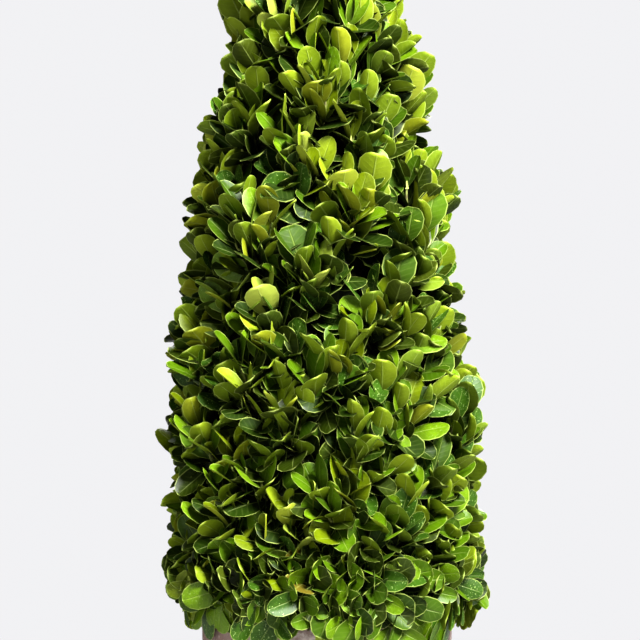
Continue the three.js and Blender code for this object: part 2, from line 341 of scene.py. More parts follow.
class Finish(Workings):
    """A procedural material for one kind of surface."""

    def __init__(self, name, roughness, gloss=0.5):
        self.material = bpy.data.materials.new(name)
        self.material.use_nodes = True
        self.tree = self.material.node_tree
        self.shader = self.tree.nodes["Principled BSDF"]
        self.shader.inputs["Roughness"].default_value = roughness
        self.shader.inputs["Specular IOR Level"].default_value = gloss

    def mixed(self, share, low, high):
        """A colour between two colours. The mixer's colour sockets are its sixth and seventh."""
        return self.node(
            "ShaderNodeMix",
            {"data_type": "RGBA"},
            {0: share, 6: low, 7: high},
            output=2,
        )

    def place(self):
        """The point's place on the piece, in metres."""
        return self.node("ShaderNodeTexCoord", {}, {}, output="Object")

    def parts(self, vector):
        """The three parts of a place."""
        node = self.tree.nodes.new("ShaderNodeSeparateXYZ")
        self.feed(node.inputs[0], vector)
        return [Amount(self, output) for output in node.outputs]

    def point(self, x, y, z):
        """A place from its three parts."""
        return self.node("ShaderNodeCombineXYZ", {}, {"X": x, "Y": y, "Z": z})

    def noise(self, place, scale, detail=3, roughness=0.55):
        """Soft random blotches, so many to the metre, from nought to one."""
        return self.node(
            "ShaderNodeTexNoise",
            {},
            {"Vector": place, "Scale": scale, "Detail": detail, "Roughness": roughness},
        )

    def bumped(self, height, depth, strength=1.0):
        """Feeds a height, in metres once multiplied by its depth, to the surface's relief."""
        relief = self.node(
            "ShaderNodeBump",
            {},
            {"Strength": strength, "Distance": depth, "Height": height},
        )
        self.tree.links.new(relief.socket, self.shader.inputs["Normal"])

    def coloured(self, colour):
        self.feed(self.shader.inputs["Base Color"], colour)

    def roughened(self, amount):
        self.feed(self.shader.inputs["Roughness"], amount)


clay = Finish("limed clay", CLAY_ROUGHNESS)
clay_place = clay.place()
clay_x, clay_y, clay_height = clay.parts(clay_place)
clay_blotches = clay.noise(clay_place, CLAY_BLOTCHES, 5, 0.62)
clay_streaks = clay.point(clay_x * CLAY_RUNS_ROUND, clay_y * CLAY_RUNS_ROUND, clay_height * CLAY_RUNS_UP)
clay_runs = clay.noise(clay_streaks, 1, 3)
clay_grain = clay.noise(clay_place, CLAY_GRAINS, 2)
clay_pits = clay.noise(clay_place, CLAY_PITS, 2)
damp = 1 - clay_height.ramp(0.004, 0.05)
collar_bloom = clay_height.ramp(0.07, 0.115)
bloom = (clay_blotches * 0.9 + clay_runs * 0.35 + collar_bloom * 0.22 - damp * 0.2).ramp(0.42, 0.86)
crust = (clay_blotches * 0.7 + clay_pits * 0.5 + collar_bloom * 0.1).ramp(0.66, 0.86)
fired = clay.mixed(clay_grain.ramp(0.3, 0.75), CLAY_DARK, CLAY_COLOUR)
bloomed = clay.mixed(bloom * 0.88, fired, LIME_GREY)
clay.coloured(clay.mixed(crust * 0.8, bloomed, LIME_WHITE))
clay.roughened(CLAY_ROUGHNESS + clay_blotches * CLAY_ROUGHER)
clay.bumped(clay_grain * 0.35 + clay_pits * 0.5 + crust * 0.25, CLAY_RELIEF, 0.7)
pot.data.materials.append(clay.material)
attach(pot, "root")
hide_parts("pot")


# Dark potting soil fills the pot to just under its lip, in crumbs of peat and bark, heaped up a
# little round the stem. It lies loose in the pot.
SOIL_TOP = 0.112
SOIL_EDGE = 0.108
SOIL_EDGE_RADIUS = 0.0567
SOIL_FOOT = 0.0093
SOIL_FOOT_RADIUS = 0.0387
SOIL_ROWS = 44
SOIL_SIDES = 132
SOIL_CRUMB = 0.0011
STEM_CLEAR_RADIUS = 0.016
SOIL_EDGE_DROP = 0.001
SOIL_FIRST_RING = 0.4
PEAT_COLOUR = (0.028, 0.018, 0.012)
CRUMB_COLOUR = (0.085, 0.055, 0.036)
# Crumbs and lumps to the metre, and how deep the relief is.
PEAT_CRUMBS = 420
PEAT_LUMPS = 120
PEAT_RELIEF = 0.0012


def chance(seed, draw):
    """Repeatable scatter from 0 to 1 for one draw of one seed, the same as the solids'."""
    value = math.sin(seed * 12.9898 + draw * 78.233) * 43758.5453
    return value - math.floor(value)


def scatter(seed, draw, spread):
    """The same, centred on zero and as wide as the spread."""
    return (chance(seed, draw) - 0.5) * spread


soil_points = [(0, 0, SOIL_FOOT)]
# Radius, height, and whether the ring's crumbs lie loose.
soil_rings = [(SOIL_FOOT_RADIUS, SOIL_FOOT, 0), (SOIL_EDGE_RADIUS, SOIL_EDGE - SOIL_EDGE_DROP, 0)]
for soil_row in range(SOIL_ROWS):
    soil_share = 1 - (soil_row + SOIL_FIRST_RING) / SOIL_ROWS
    soil_height = SOIL_TOP + (SOIL_EDGE - SOIL_TOP) * soil_share**2
    soil_rings.append((SOIL_EDGE_RADIUS * soil_share, soil_height, 1))
for soil_row, (soil_radius, soil_height, soil_loose) in enumerate(soil_rings):
    for soil_side in range(SOIL_SIDES):
        soil_turn = 2 * math.pi * (soil_side + 0.5 * (soil_row % 2)) / SOIL_SIDES
        crumb = SOIL_CRUMB * scatter(soil_row, soil_side, 1) * soil_loose
        if soil_radius < STEM_CLEAR_RADIUS:
            crumb = min(0, crumb) * 0.5
        soil_points.append(
            (soil_radius * math.cos(soil_turn), soil_radius * math.sin(soil_turn), soil_height + crumb)
        )
soil_points.append((0, 0, SOIL_TOP))
soil = ringed("potting_soil", soil_points, SOIL_SIDES)
peat = Finish("potting soil", 0.95)
peat_place = peat.place()
peat_crumbs = peat.noise(peat_place, PEAT_CRUMBS, 3, 0.7)
peat_lumps = peat.noise(peat_place, PEAT_LUMPS, 2)
peat_pale = (peat_crumbs * 0.6 + peat_lumps * 0.4).ramp(0.42, 0.66)
peat.coloured(peat.mixed(peat_pale, PEAT_COLOUR, CRUMB_COLOUR))
peat.bumped(peat_crumbs, PEAT_RELIEF, 0.9)
soil.data.materials.append(peat.material)
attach(soil, "root")
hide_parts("soil")


# One short woody stem stands on the soil, flared over its roots, with grey-brown bark in long
# ridges and splits. It leans a little and goes up into the foliage, which hides its top.
LEAN = 0.023
STEM_FOOT = 0.1123
STEM_TOP = 0.172
STEM_FLARE_RADIUS = 0.0115
STEM_FLARE_HEIGHT = 0.020
STEM_RADIUS = 0.0062
STEM_TIP_RADIUS = 0.004
STEM_ROWS = 46
STEM_SIDES = 60
ROOT_RIDGES = 5
ROOT_RIDGE_DEPTH = 0.16
BARK_RIDGE = 0.00045
BARK_RIDGES_ROUND = 11
BARK_SPLITS_ROUND = 17
BARK_COLOUR = (0.17, 0.125, 0.085)
BARK_SPLIT = (0.045, 0.03, 0.02)
BARK_PALE = (0.34, 0.29, 0.22)
# Streaks and flecks to the metre, and how deep the relief is.
BARK_STREAKS_ROUND = 700
BARK_STREAKS_UP = 110
BARK_FLECKS = 500
BARK_RELIEF = 0.0008


def lean_at(height):
    """How far the plant's own axis has moved along X at a height."""
    return -LEAN * (height - POT_HEIGHT)


def stem_relief(turn, radius, height):
    """Root ridges at the foot, and bark in ridges that wander as they climb."""
    rise = (height - STEM_FOOT) / STEM_FLARE_HEIGHT
    roots = radius * ROOT_RIDGE_DEPTH * math.cos(ROOT_RIDGES * turn) * max(0, 1 - rise)
    wander = 1.4 * math.sin(height * 160) + 0.8 * math.sin(height * 410 + 2)
    plates = math.sin(BARK_RIDGES_ROUND * turn + wander)
    plates += 0.6 * math.sin(BARK_SPLITS_ROUND * turn - 1.7 * wander + height * 900)
    return roots + BARK_RIDGE * (plates - 1.6) * 0.6


stem_profile = [(0, STEM_FOOT)]
for stem_row in range(STEM_ROWS + 1):
    stem_share = stem_row / STEM_ROWS
    stem_height = STEM_FOOT + (STEM_TOP - STEM_FOOT) * stem_share
    stem_taper = STEM_RADIUS + (STEM_TIP_RADIUS - STEM_RADIUS) * stem_share
    flare_share = max(0, 1 - (stem_height - STEM_FOOT) / STEM_FLARE_HEIGHT)
    stem_profile.append((stem_taper + (STEM_FLARE_RADIUS - STEM_RADIUS) * flare_share**3, stem_height))
stem_profile.append((0, STEM_TOP))
stem = turned("woody_stem", stem_profile, STEM_SIDES, stem_relief)
for stem_point in stem.data.vertices:
    stem_point.co.x += lean_at(stem_point.co.z)
bark = Finish("bark", 0.88)
bark_place = bark.place()
bark_x, bark_y, bark_height = bark.parts(bark_place)
bark_grain = bark.point(
    bark_x * BARK_STREAKS_ROUND,
    bark_y * BARK_STREAKS_ROUND,
    bark_height * BARK_STREAKS_UP,
)
bark_streaks = bark.noise(bark_grain, 1, 4, 0.65)
bark_flecks = bark.noise(bark_place, BARK_FLECKS, 2)
bark_body = bark.mixed(bark_streaks.ramp(0.32, 0.62), BARK_SPLIT, BARK_COLOUR)
bark.coloured(bark.mixed(bark_flecks.ramp(0.56, 0.74) * 0.6, bark_body, BARK_PALE))
bark.bumped(bark_streaks, BARK_RELIEF, 0.9)
stem.data.materials.append(bark.material)
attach(stem, "root")
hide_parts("stem")


# The crown's inside is a close tangle of old twigs and dead leaves, clipped to a cone within the outline.
# Its near-black colour is painted shade for the dark where no light comes in between the leaves; its twig
# flecks are the twigs' own colour.
CROWN_TIP = 0.588
CROWN_APEX = 0.600
CROWN_WAIST = 0.148
CROWN_RADIUS = 0.086
CROWN_SKIRT = 0.103
SKIRT_DROP = 0.150
CORE_TIP = 0.545
CORE_APEX = 0.568
CORE_FOOT = 0.1236
CORE_RADIUS = 0.064
TANGLE_SHARE = 0.93
TANGLE_ROWS = 84
TANGLE_SIDES = 96
TANGLE_LUMP = 0.0042
TANGLE_CENTRE_RADIUS = 0.012
TANGLE_FOOT_ROWS = 8
TANGLE_FIRST_ROW = 0.002
TANGLE_TIP_RISE = 0.004
TANGLE_EVEN_RADIUS = 0.02
TANGLE_SHADE_COLOUR = (0.010, 0.012, 0.004)
TANGLE_TWIG_COLOUR = (0.045, 0.036, 0.018)
TANGLE_TWIGS = 420
TANGLE_RELIEF = 0.0015


def crown_radius(height):
    """The clipped outline's radius at a height."""
    span = CROWN_APEX - CROWN_WAIST if height > CROWN_WAIST else SKIRT_DROP
    return CROWN_RADIUS * (1 - ((height - CROWN_WAIST) / span) ** 2)


def core_radius(height):
    """The dense inside's radius at a height."""
    away = max(0, height - CROWN_WAIST) / (CORE_APEX - CROWN_WAIST)
    return CORE_RADIUS * (1 - away**2)


def tangle_relief(turn, radius, height):
    """Lumps where tufts of old growth stand in the dark."""
    row = round(height * 1000)
    side = round(turn * 30)
    broad = math.sin(7 * turn + 60 * height) * math.sin(95 * height - 4 * turn)
    lump = TANGLE_LUMP * (0.5 * broad + scatter(row, side, 1) * 0.9 - 0.4)
    return lump * min(1, radius / TANGLE_EVEN_RADIUS)


tangle_profile = [(0, CORE_FOOT)]
tangle_profile += straight(
    (TANGLE_CENTRE_RADIUS, CORE_FOOT),
    (CORE_RADIUS * TANGLE_SHARE, CORE_FOOT),
    TANGLE_FOOT_ROWS,
)
for tangle_row in range(TANGLE_ROWS + 1):
    tangle_height = CORE_FOOT + TANGLE_FIRST_ROW + (CORE_TIP - CORE_FOOT) * tangle_row / TANGLE_ROWS
    tangle_profile.append((core_radius(tangle_height) * TANGLE_SHARE, tangle_height))
tangle_profile.append((0, CORE_TIP + TANGLE_TIP_RISE))
tangle = turned("inner_tangle", tangle_profile, TANGLE_SIDES, tangle_relief)
for tangle_point in tangle.data.vertices:
    tangle_point.co.x += lean_at(tangle_point.co.z)
# Painted shade: the tangle's body is near black; the paler flecks are the twigs' own colour.
shade = Finish("inner tangle", 0.95, 0.05)
shade_twigs = shade.noise(shade.place(), TANGLE_TWIGS, 3, 0.7)
shade.coloured(shade.mixed(shade_twigs.ramp(0.5, 0.72), TANGLE_SHADE_COLOUR, TANGLE_TWIG_COLOUR))
shade.bumped(shade_twigs, TANGLE_RELIEF, 0.8)
tangle.data.materials.append(shade.material)
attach(tangle, "root")
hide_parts("crown")


# Boughs leave the plant's axis inside the tangle, spaced by the golden angle, and reach towards
# the unevenly clipped outline: outwards and up, hanging at the skirt and upright at the tip. Each
# ends in a fan of thin green-brown shoots that carry the leaves and, on some, a pale bud.
BOUGH_COUNT = 110
GOLDEN_ANGLE = 137.508
SKIRT_CROWDING = 1.2
TIP_CROWDING = 1.05
MIDDLE_RISE = 50
TIP_RISE = 34
SKIRT_FALL = 116
SKIRT_SHARE = 0.1
RISE_SPREAD = 12
REACH_SPREAD = 0.06
STRAY_SHARE = 0.22
STRAY_REACH = 0.09
STRAY_FOLLOWED = 0.25
ROOT_SPREAD = 0.6
HIGHEST_ROOT = 0.510
BOUGH_SHORT = 0.0304
BOUGH_THICK = 0.0022
BOUGH_THIN = 0.0012
SHOOTS_TO_BOUGH = 7
SKIRT_SHOOTS = 12
SKIRT_BELOW = 0.150
CLUMP_RADIUS = 0.020
SKIRT_CLUMP_RADIUS = 0.026
SHOOT_SHORT = 0.0205
SHOOT_BACK = 0.004
SHOOT_BACK_SPREAD = 0.018
SHOOT_THICK = 0.0011
SHOOT_THIN = 0.0006
SHOOT_LEAST_INSET = 0.02
SHOOT_INSET = 0.13
SHOOT_BEND = 0.45
CLUMP_LEAST_RADIUS = 0.012
TURN_UP = 0.5
TURN_UP_FROM = 0.04
TURN_UP_FULL = 0.16
SKIRT_LOWEST = 0.094
SKIRT_HIGHER_AT_SIDES = 0.017
SKIRT_UNEVENNESS = 0.008
HANGING_BELOW = 0.112
HANGING_FROM = 0.145
HANGING_OUT = 0.32
HANGING_ON_OUTLINE = 1.05
CLUMP_TILT = 0.55
# Where the shears cut deeper or less deep than the cone: height, turn in degrees, how tall, and
# how far out.
UNEVEN_CUTS = (
    (0.420, 180, 0.024, -0.013),
    (0.424, 0, 0.012, 0.006),
    (0.380, 0, 0.010, -0.006),
    (0.358, 0, 0.010, 0.007),
    (0.368, 180, 0.014, -0.007),
    (0.315, 180, 0.016, -0.008),
    (0.325, 0, 0.014, -0.006),
    (0.254, 0, 0.008, 0.009),
    (0.197, 180, 0.014, -0.006),
    (0.190, 0, 0.014, 0.004),
    (0.148, 0, 0.010, -0.004),
)
SHOOT_STEPS = 5
TWIG_SIDES = 6
BOUGH_COLOUR = (0.16, 0.13, 0.06)
BOUGH_DARK = (0.12, 0.088, 0.055)
SHOOT_COLOUR = (0.22, 0.25, 0.07)
SHOOT_DARK = (0.13, 0.12, 0.05)
TWIG_STREAKS = 300
TWIG_RELIEF = 0.0004
BUD_COLOUR = (0.42, 0.46, 0.13)
BUD_DARK = (0.24, 0.27, 0.07)
BUD_SHARE = 0.4
BUD_LONG = 0.0042
BUD_THICK = 0.0012
BUD_THIN = 0.0004
# Which of a bough's and of a shoot's chance draws decides what, and where the shoots' seeds start.
DRAW_REACH, DRAW_RISE, DRAW_ROOT_X, DRAW_ROOT_Y, DRAW_STRAY = 1, 2, 3, 4, 7
DRAW_CLUMP, DRAW_BACK, DRAW_INSET, DRAW_BUD, DRAW_TILT, DRAW_SKIRT = 41, 42, 43, 44, 45, 46
SHOOT_SEEDS = 1000


def risen(value, start, full):
    """Nought until a value reaches its start, one once it is full, and even between them."""
    return min(1, max(0, (value - start) / (full - start)))


def bough_share(index):
    """The share of the crown's height at which a bough's tip lies."""
    area = ((index + 1) / BOUGH_COUNT) ** SKIRT_CROWDING
    return min(1, TIP_CROWDING * 2 * math.sin(math.asin(area) / 3))


def clipped_radius(height, turn):
    """The outline's radius at a height and turn, with the unevenness of its clipping."""
    radius = crown_radius(height)
    for cut_height, cut_turn, cut_tall, cut_out in UNEVEN_CUTS:
        facing = max(0, math.cos(turn - math.radians(cut_turn))) ** 2
        radius += cut_out * facing * math.exp(-(((height - cut_height) / cut_tall) ** 2))
    return radius


def on_outline(height, turn, inset):
    """A point on the clipped outline, or a share of its radius further in."""
    reach = clipped_radius(height, turn) * (1 - inset)
    return Vector((lean_at(height) + reach * math.cos(turn), reach * math.sin(turn), height))


def stray_reach(index):
    """How far a bough strays past the outline, as a share of its radius: most don't."""
    draw = chance(index, DRAW_STRAY) / STRAY_SHARE
    return STRAY_REACH * math.sqrt(1 - draw) if draw < 1 else 0


def bough_line(index):
    """Where a bough starts and ends, its direction, and the height and turn of its tip."""
    share = bough_share(index)
    height = CROWN_SKIRT + (CROWN_TIP - CROWN_SKIRT) * share
    turn = math.radians(index * GOLDEN_ANGLE)
    inset = REACH_SPREAD * chance(index, DRAW_REACH) - stray_reach(index)
    rise = MIDDLE_RISE + TIP_RISE * share**3 - SKIRT_FALL * math.exp(-share / SKIRT_SHARE)
    rise = math.radians(rise + scatter(index, DRAW_RISE, RISE_SPREAD))
    root_height = min(height - crown_radius(height) * (1 - inset) * math.tan(rise), HIGHEST_ROOT)
    root_spread = ROOT_SPREAD * core_radius(root_height)
    start = Vector(
        (
            lean_at(root_height) + scatter(index, DRAW_ROOT_X, root_spread),
            scatter(index, DRAW_ROOT_Y, root_spread),
            root_height,
        )
    )
    tip = on_outline(height, turn, inset)
    direction = (tip - start).normalized()
    return start, tip - direction * BOUGH_SHORT, direction, height, turn


def shoots_on(height):
    """How many shoots a bough carries: more where they hang over the pot's rim."""
    return SKIRT_SHOOTS if height < SKIRT_BELOW else SHOOTS_TO_BOUGH


def shoot_path(index, shoot):
    """The points of a shoot, from its bough to where its last leaves stand."""
    _, end, direction, height, turn = bough_line(index)
    seed = index * SKIRT_SHOOTS + shoot + SHOOT_SEEDS
    round_clump = math.radians(shoot * GOLDEN_ANGLE) + 2 * math.pi * chance(index, DRAW_CLUMP)
    clump_radius = SKIRT_CLUMP_RADIUS if height < SKIRT_BELOW else CLUMP_RADIUS
    away = clump_radius * math.sqrt(shoot / (shoots_on(height) - 1))
    skirt = SKIRT_LOWEST + SKIRT_HIGHER_AT_SIDES * math.cos(turn) ** 4
    skirt += SKIRT_UNEVENNESS * chance(seed, DRAW_SKIRT)
    tip_height = min(CROWN_TIP, max(skirt, height + away * math.sin(round_clump)))
    radius = max(CLUMP_LEAST_RADIUS, crown_radius(tip_height))
    tip_turn = turn + away * math.cos(round_clump) / radius
    inset = SHOOT_LEAST_INSET + SHOOT_INSET * chance(seed, DRAW_INSET)
    inset += REACH_SPREAD * chance(index, DRAW_REACH)
    inset -= stray_reach(index) * (STRAY_FOLLOWED if shoot else 1)
    hanging = risen(tip_height, HANGING_FROM, HANGING_BELOW)
    tip = on_outline(tip_height, tip_turn, inset * (1 - HANGING_ON_OUTLINE * hanging))
    back = SHOOT_BACK + SHOOT_BACK_SPREAD * chance(seed, DRAW_BACK)
    root = end - direction * back
    outwards = (tip - root).normalized()
    share = (tip_height - CROWN_SKIRT) / (CROWN_TIP - CROWN_SKIRT)
    turn_up = TURN_UP * risen(share, TURN_UP_FROM, TURN_UP_FULL)
    growing = (outwards * (1 - turn_up) + Vector((0, 0, turn_up))) * (1 - hanging)
    down = Vector((math.cos(tip_turn) * HANGING_OUT, math.sin(tip_turn) * HANGING_OUT, -1))
    growing += down * hanging
    tilt = scatter(index, DRAW_TILT, CLUMP_TILT)
    growing = (growing + Vector((-math.sin(turn), math.cos(turn), 0)) * tilt).normalized()
    last = tip - growing * SHOOT_SHORT
    bend = last - growing * (last - root).length * SHOOT_BEND
    points = []
    for step in range(SHOOT_STEPS):
        share = step / (SHOOT_STEPS - 1)
        points.append(root * (1 - share) ** 2 + bend * 2 * share * (1 - share) + last * share**2)
    return points


class Growth(Workings):
    """Geometry nodes that grow one piece from its lines or roots. The inputs are a table of names
    with each one's kind and value, and one is the finish."""

    def __init__(self, name, source, inputs):
        self.tree = bpy.data.node_groups.new(name, "GeometryNodeTree")
        self.values = {}
        self.socket(source, "Geometry", "INPUT")
        for given, (kind, value) in inputs.items():
            self.values[self.socket(given, kind, "INPUT").identifier] = value
        self.socket("Grown", "Geometry", "OUTPUT")
        self.inward = self.tree.nodes.new("NodeGroupInput")

    def socket(self, name, kind, way):
        """A named input or output of the whole tree."""
        return self.tree.interface.new_socket(name, in_out=way, socket_type="NodeSocket" + kind)

    def given(self, name):
        """One of the named inputs."""
        return Amount(self, self.inward.outputs[name])

    def kept(self, name, kind):
        """What the lines or roots keep under a name."""
        return self.node("GeometryNodeInputNamedAttribute", {"data_type": kind}, {"Name": name}, "Attribute")

    def grown(self, name, lines, geometry):
        """The piece that grows from lines or roots, made real, finished and a plain mesh."""
        realized = self.node("GeometryNodeRealizeInstances", {}, {0: geometry})
        finished = self.node(
            "GeometryNodeSetMaterial",
            {},
            {"Geometry": realized, "Material": self.given("Finish")},
        )
        self.feed(self.tree.nodes.new("NodeGroupOutput").inputs[0], finished)
        piece = bpy.data.objects.new(name, lines)
        bpy.context.scene.collection.objects.link(piece)
        growth = piece.modifiers.new("growth", "NODES")
        growth.node_group = self.tree
        for identifier, value in self.values.items():
            growth[identifier] = value
        evaluated = piece.evaluated_get(bpy.context.evaluated_depsgraph_get())
        mesh = bpy.data.meshes.new_from_object(evaluated)
        piece.modifiers.clear()
        piece.data = mesh
        for spare in ("thickness", "blade", "face", "size", "shape"):
            if spare in mesh.attributes:
                mesh.attributes.remove(mesh.attributes[spare])
        mesh.shade_smooth()
        return piece


def tubes(name, paths, material):
    """Tapered round twigs along paths of points, each a list of points and its two radii."""
    points = []
    edges = []
    radii = []
    for path, thick, thin in paths:
        for step, point in enumerate(path):
            if step:
                edges.append((len(points) - 1, len(points)))
            points.append(tuple(point))
            radii.append(thick + (thin - thick) * step / (len(path) - 1))
    lines = bpy.data.meshes.new(name + " lines")
    lines.from_pydata(points, edges, [])
    lines.attributes.new("thickness", "FLOAT", "POINT").data.foreach_set("value", radii)
    growth = Growth(
        name + " growth",
        "Lines",
        {"Sides": ("Int", TWIG_SIDES), "Finish": ("Material", material)},
    )
    curves = growth.node("GeometryNodeMeshToCurve", {}, {"Mesh": growth.given("Lines")})
    ring = growth.node(
        "GeometryNodeCurvePrimitiveCircle",
        {},
        {"Resolution": growth.given("Sides"), "Radius": 1},
    )
    twigs = growth.node(
        "GeometryNodeCurveToMesh",
        {},
        {
            "Curve": curves,
            "Profile Curve": ring,
            "Scale": growth.kept("thickness", "FLOAT"),
            "Fill Caps": True,
        },
    )
    return growth.grown(name, lines, twigs)


def twig_finish(name, dark, light):
    """Bark or green skin with fine streaks."""
    finish = Finish(name, 0.7, 0.2)
    streaks = finish.noise(finish.place(), TWIG_STREAKS, 3, 0.6)
    finish.coloured(finish.mixed(streaks.ramp(0.4, 0.62), dark, light))
    finish.bumped(streaks, TWIG_RELIEF, 0.6)
    return finish.material


bough_paths = []
shoot_paths = []
bud_paths = []
shoots = []
for bough in range(BOUGH_COUNT):
    bough_start, bough_end, _, bough_height, _ = bough_line(bough)
    bough_path = [bough_start, (bough_start + bough_end) / 2, bough_end]
    bough_paths.append((bough_path, BOUGH_THICK, BOUGH_THIN))
    for shoot in range(shoots_on(bough_height)):
        path = shoot_path(bough, shoot)
        number = bough * SKIRT_SHOOTS + shoot
        shoot_paths.append((path, SHOOT_THICK, SHOOT_THIN))
        shoots.append((number, path))
        if chance(number + SHOOT_SEEDS, DRAW_BUD) < BUD_SHARE:
            bud_end = path[-1] + (path[-1] - path[-2]).normalized() * BUD_LONG
            bud_paths.append(([path[-1], bud_end], BUD_THICK, BUD_THIN))
TWIG_KINDS = (
    ("boughs", bough_paths, twig_finish("bough bark", BOUGH_DARK, BOUGH_COLOUR)),
    ("shoots", shoot_paths, twig_finish("green shoot", SHOOT_DARK, SHOOT_COLOUR)),
    ("buds", bud_paths, twig_finish("bud", BUD_DARK, BUD_COLOUR)),
)
for twig_name, twig_paths, twig_material in TWIG_KINDS:
    twigs = tubes(twig_name, twig_paths, twig_material)
    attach(twigs, "root")
    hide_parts("crown")


# Boxwood leaves are small, thick and leathery: wedge-shaped at the root, widest past the middle
# and blunt or notched at the tip. The upper face is glossy and dark, the underside paler and matt,
# with a pale midrib and margin and a shaded root. Pairs stand crossed along each shoot.
LEAF_ROWS = (0.10, 0.29, 0.52, 0.75, 0.90, 0.975)
LEAF_HALF_WIDTHS = (0.25, 0.70, 0.97, 0.95, 0.69, 0.37)
LEAF_COLUMNS = (-1, -0.55, 0, 0.55, 1)
LEAF_THICKNESS = 0.016
RIB_DEPTH = 0.010
RIB_UPPER_SHARE = 0.6
CURL_FROM = 0.35
# Width to length, how far the sides cup up, how far the length curls back, the twist in degrees
# and the depth of the notch at the tip.
LEAF_SHAPES = (
    (0.57, 0.10, 0.10, 8, 0.000),
    (0.62, -0.07, 0.20, -10, 0.015),
    (0.53, 0.16, -0.06, 12, 0.000),
    (0.74, 0.05, 0.20, -5, 0.020),
    (0.59, -0.10, 0.08, 15, 0.000),
    (0.49, 0.20, 0.16, -14, 0.008),
)
LEAF_CELLS_ACROSS = 4
LEAF_CELLS_UP = 3
LEAF_CELL_EDGE = 0.02
PAIRS_TO_SHOOT = 4
PAIR_PITCH = 0.0052
LEAF_LONGEST = 0.0285
LEAF_AT_TIP = 0.0255
LEAF_SIZE_CURVE = 1.5
LEAF_SIZE_SPREAD = 0.28
LOW_LEAF_SIZE = 0.97
HIGH_LEAF_SIZE = 1.06
LOW_LEAVES_AT = 0.18
HIGH_LEAVES_AT = 0.44
LOW_PAIR_SPREAD = 42
TOP_PAIR_SPREAD = 18
SPREAD_WHEN_LEVEL = 26
PAIR_SPREAD_SCATTER = 12
FIRST_PAIR_TURN = 45
PAIR_TURN_SPREAD = 20
LEAF_ROLL_SPREAD = 20
TURN_TO_LIGHT = 0.28
TURN_WHEN_HANGING = 0.75
LIGHT_RISE = 0.55
POT_CLEARANCE = 0.0012
OUTLINE_MARGIN = 0.0045
STRAY_LEAF_MARGIN = 0.006
STRAY_LEAF_RARITY = 3
WIDEST_LEAF = 0.0905
DRAW_PAIR_TURN, DRAW_LEAF_SIZE, DRAW_LEAF_SPREAD, DRAW_LEAF_ROLL = 110, 120, 140, 160
DRAW_LEAF_SHAPE, DRAW_TINT, DRAW_AGE, DRAW_MARGIN = 180, 216, 201, 202
# Each tint's name, its share of the shoots, and the colours of its upper faces and undersides.
LEAF_TINTS = (
    ("deep", 0.26, (0.034, 0.072, 0.0008), (0.115, 0.170, 0.003)),
    ("bluish", 0.09, (0.031, 0.078, 0.004), (0.125, 0.186, 0.010)),
    ("mid", 0.26, (0.061, 0.122, 0.0008), (0.165, 0.230, 0.006)),
    ("fresh", 0.17, (0.104, 0.188, 0.002), (0.215, 0.286, 0.010)),
    ("olive", 0.12, (0.114, 0.155, 0.0008), (0.220, 0.250, 0.008)),
    ("yellowish", 0.06, (0.200, 0.262, 0.010), (0.310, 0.360, 0.030)),
    ("pale", 0.03, (0.240, 0.310, 0.035), (0.330, 0.390, 0.055)),
    ("tired", 0.01, (0.120, 0.095, 0.010), (0.180, 0.140, 0.016)),
    # The last two tints are painted shade: a shoot's inner leaves, deep in the crown, take them to darken
    # the gaps between the leaves.
    ("shaded", 0, (0.013, 0.029, 0.0005), (0.038, 0.063, 0.001)),
    ("shaded_olive", 0, (0.019, 0.032, 0.0005), (0.048, 0.068, 0.001)),
)
# Places in that table.
LAST_FRESHENED_TINT = 4
SHADED_TINT = 8
SHADED_OLIVE_TINT = 9
# Leaves nearer the shoot's root than this share take the painted-shade tints.
INNER_SHADE_LEAF_SHARE = 0.4
SHADED_CHANCE = 0.5
FRESH_LEAF_SHARE = 0.75
FRESHENED_CHANCE = 0.5
# Painted shade: low on the right, on the side the key light comes from, shoots draw the darker tints more
# often.
LOW_RIGHT_PAINTED_SHADE = 0.6
LEAF_ROUGHNESS = 0.40
UNDER_ROUGHER = 0.22
LEAF_GLOSS = 0.20
LEAF_RELIEF = 0.0004
# How bright the darker blotches are, as shares of each face's own colour.
UPPER_BLOTCH = 0.62
UNDER_BLOTCH = 0.8
VEINS_ALONG = 8
VEIN_SLANT = 1.5
VEIN_PALE = 0.03
RIB_PALE = 0.2
UNDER_RIB_PALER = 0.14
MARGIN_PALE = 0.42
ROOT_SHADE = 0.75
ROOT_COLOUR = (0.005, 0.009, 0.0005)
MARGIN_COLOUR = (0.42, 0.50, 0.13)
RIB_COLOUR = (0.36, 0.44, 0.12)
SPECK_COLOUR = (0.34, 0.46, 0.16)
SPECKLED_TINTS = {"bluish": 0.7, "fresh": 0.25}


